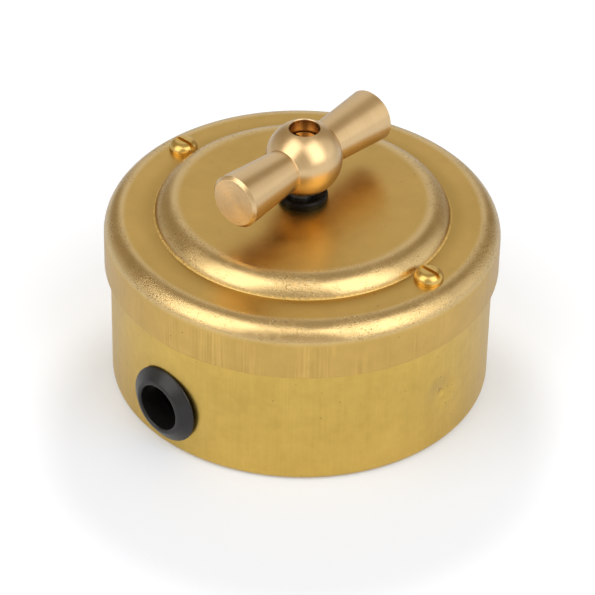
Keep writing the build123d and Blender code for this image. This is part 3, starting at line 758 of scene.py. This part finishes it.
inside = {
    plain_metal("machined_brass", (0.58, 0.37, 0.12), (0.76, 0.54, 0.24), 0.30, 3000): [
        "cover_pillar_right", "cover_pillar_left", "bush_nut", "cap_posts", "floor_bosses",
        "terminal_washers", "earth_terminal",
    ],
    plain_metal("screw_stock_brass", (0.62, 0.40, 0.14), (0.80, 0.58, 0.26), 0.24, 4200): [
        "terminal_screws", "earth_screw",
    ],
    plain_metal("zinc_plate", (0.36, 0.37, 0.38), (0.56, 0.57, 0.58), 0.36, 2600): [
        "spindle", "handle_washer", "spring_pins", "mechanism_screws", "mechanism_cap", "cap_screws",
    ],
    plain_metal("blued_spring", (0.08, 0.09, 0.13), (0.17, 0.18, 0.22), 0.28, 3600): [
        "detent_spring_front", "detent_spring_rear", "spindle_clip",
    ],
    plain_metal("contact_bronze", (0.50, 0.25, 0.12), (0.70, 0.40, 0.20), 0.30, 3200): [
        "contact_bridge", "contact_right", "contact_rear", "contact_left", "contact_front", "common_link",
    ],
    moulding("brown_phenolic", (0.030, 0.012, 0.006), (0.065, 0.028, 0.014), 0.34, 400): [
        "detent_cam", "rotor", "rotor_collar",
    ],
    moulding("glazed_porcelain", (0.66, 0.63, 0.56), (0.80, 0.78, 0.72), 0.16, 220): ["mechanism_base"],
}
for material, nodes in inside.items():
    for node in nodes:
        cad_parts[node].data.materials.clear()
        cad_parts[node].data.materials.append(material)


# Room: a paper floor, with a painted shadow round the switch where its glow is weaker, two large soft
# lamps on the camera's side, and a surround for the brass to mirror. It is pale behind the switch and at
# its right, fainter in front, overhead and at the horizon, and dim and warm elsewhere. The camera sees it
# as plain white.
towards_camera = (0.685, -0.729, 0)
camera_right = (0.729, 0.685, 0)
right_wall_way = (0.620, 0.689, 0.375)
paper_white = (0.69, 0.735, 0.815, 1.0)
white = (1.0, 1.0, 1.0)
dim_surround = (0.36, 0.30, 0.21)
shade_middle = (0.0171, -0.0182)
shade_inner = 0.043
shade_outer = 0.060

floor_material, spot = new_finish("pale_floor")
seen = spot.node("ShaderNodeLightPath", {}, {}, "Is Camera Ray")
mirrored = 0.1 + spot.towards(*towards_camera).rises(-0.08, 0.05) * 0.40
seen = seen + seen.other("Is Glossy Ray") * mirrored
paper = spot.node("ShaderNodeBsdfDiffuse", {}, {"Color": paper_white}, "BSDF")
# Painted shadow: the floor's glow is weaker within a few centimetres of the switch's front, for the
# switch's soft shadow.
x, y = spot.towards(1, 0, 0) - shade_middle[0], spot.towards(0, 1, 0) - shade_middle[1]
far = ((x * x + y * y) ** 0.5).rises(shade_inner, shade_outer)
lift = spot.node("ShaderNodeEmission", {}, {"Color": 0.22 + far * 0.21, "Strength": 1.0}, "Emission")
both = spot.node("ShaderNodeAddShader", {}, {0: paper, 1: lift}, "Shader")
spot.node("ShaderNodeMixShader", {}, {0: seen, 1: paper, 2: both}, "Shader").shown()
bpy.ops.object.select_all(action="DESELECT")
bpy.ops.mesh.primitive_plane_add(size=6.0, location=(0, 0, 0))
floor = bpy.context.object
floor.name = "floor"
floor.data.materials.append(floor_material)


def soft_lamp(name, azimuth, elevation, distance, width, tall, watts):
    """An area lamp that faces the switch. Azimuth 0 is on -Y, and it grows towards +X."""
    a, e = math.radians(azimuth), math.radians(elevation)
    lamp = bpy.data.lights.new(name, "AREA")
    lamp.shape = "RECTANGLE"
    lamp.size, lamp.size_y, lamp.energy = width, tall, watts
    holder = bpy.data.objects.new(name, lamp)
    bpy.context.scene.collection.objects.link(holder)
    holder.location = (
        distance * math.sin(a) * math.cos(e),
        -distance * math.cos(a) * math.cos(e),
        distance * math.sin(e),
    )
    holder.rotation_euler = (math.radians(90) - e, 0, a)


soft_lamp("lamp_left", azimuth=-14, elevation=43, distance=1.1, width=0.85, tall=1.25, watts=5.8)
soft_lamp("lamp_right", azimuth=92, elevation=42, distance=1.1, width=0.85, tall=1.20, watts=5.6)

world = bpy.data.worlds.new("surround")
bpy.context.scene.world = world
world.use_nodes = True
world.node_tree.nodes.clear()
sky = Signal(world.node_tree).node("ShaderNodeTexCoord", output="Generated")
front, side, rise = sky.towards(*towards_camera), sky.towards(*camera_right), sky.towards(0, 0, 1)
back_wall = (1 - side.maths("ABSOLUTE", side).rises(0.22, 0.45)) * (front * -1).rises(0.52, 0.70)
ceiling = rise.rises(0.75, 0.95)
front_glow = front.rises(0.20, 0.50) * rise.rises(0.00, 0.35)
right_wall = sky.towards(*right_wall_way).rises(0.84, 0.95)
horizon = (1 - rise.rises(0.15, 0.45)) * front.rises(-0.80, -0.40)
shade = back_wall * 0.63 + ceiling * 0.18 + front_glow * 0.2 + right_wall * 0.6 + horizon * 0.33
seen = sky.node("ShaderNodeLightPath", {}, {}, "Is Camera Ray")
tint = seen.over(shade.tinted(dim_surround, white), white)
backdrop = sky.node("ShaderNodeBackground", {}, {"Color": tint, "Strength": 1.0}, "Background")
backdrop.shown("ShaderNodeOutputWorld")

camera_place = (0.351814, -0.374644, 0.396732)
camera_tilt, camera_roll, camera_pan = math.radians(53.4654), math.radians(-0.9616), math.radians(43.9872)
bpy.ops.object.camera_add(location=camera_place, rotation=(camera_tilt, camera_roll, camera_pan))
camera = bpy.context.object
camera.name = "camera"
camera.data.sensor_width = 36.0
camera.data.lens = 193.613
camera.data.clip_start = 0.01
camera.data.clip_end = 20.0
bpy.context.scene.camera = camera
bpy.context.scene.view_settings.view_transform = "Standard"

bpy.context.view_layer.update()
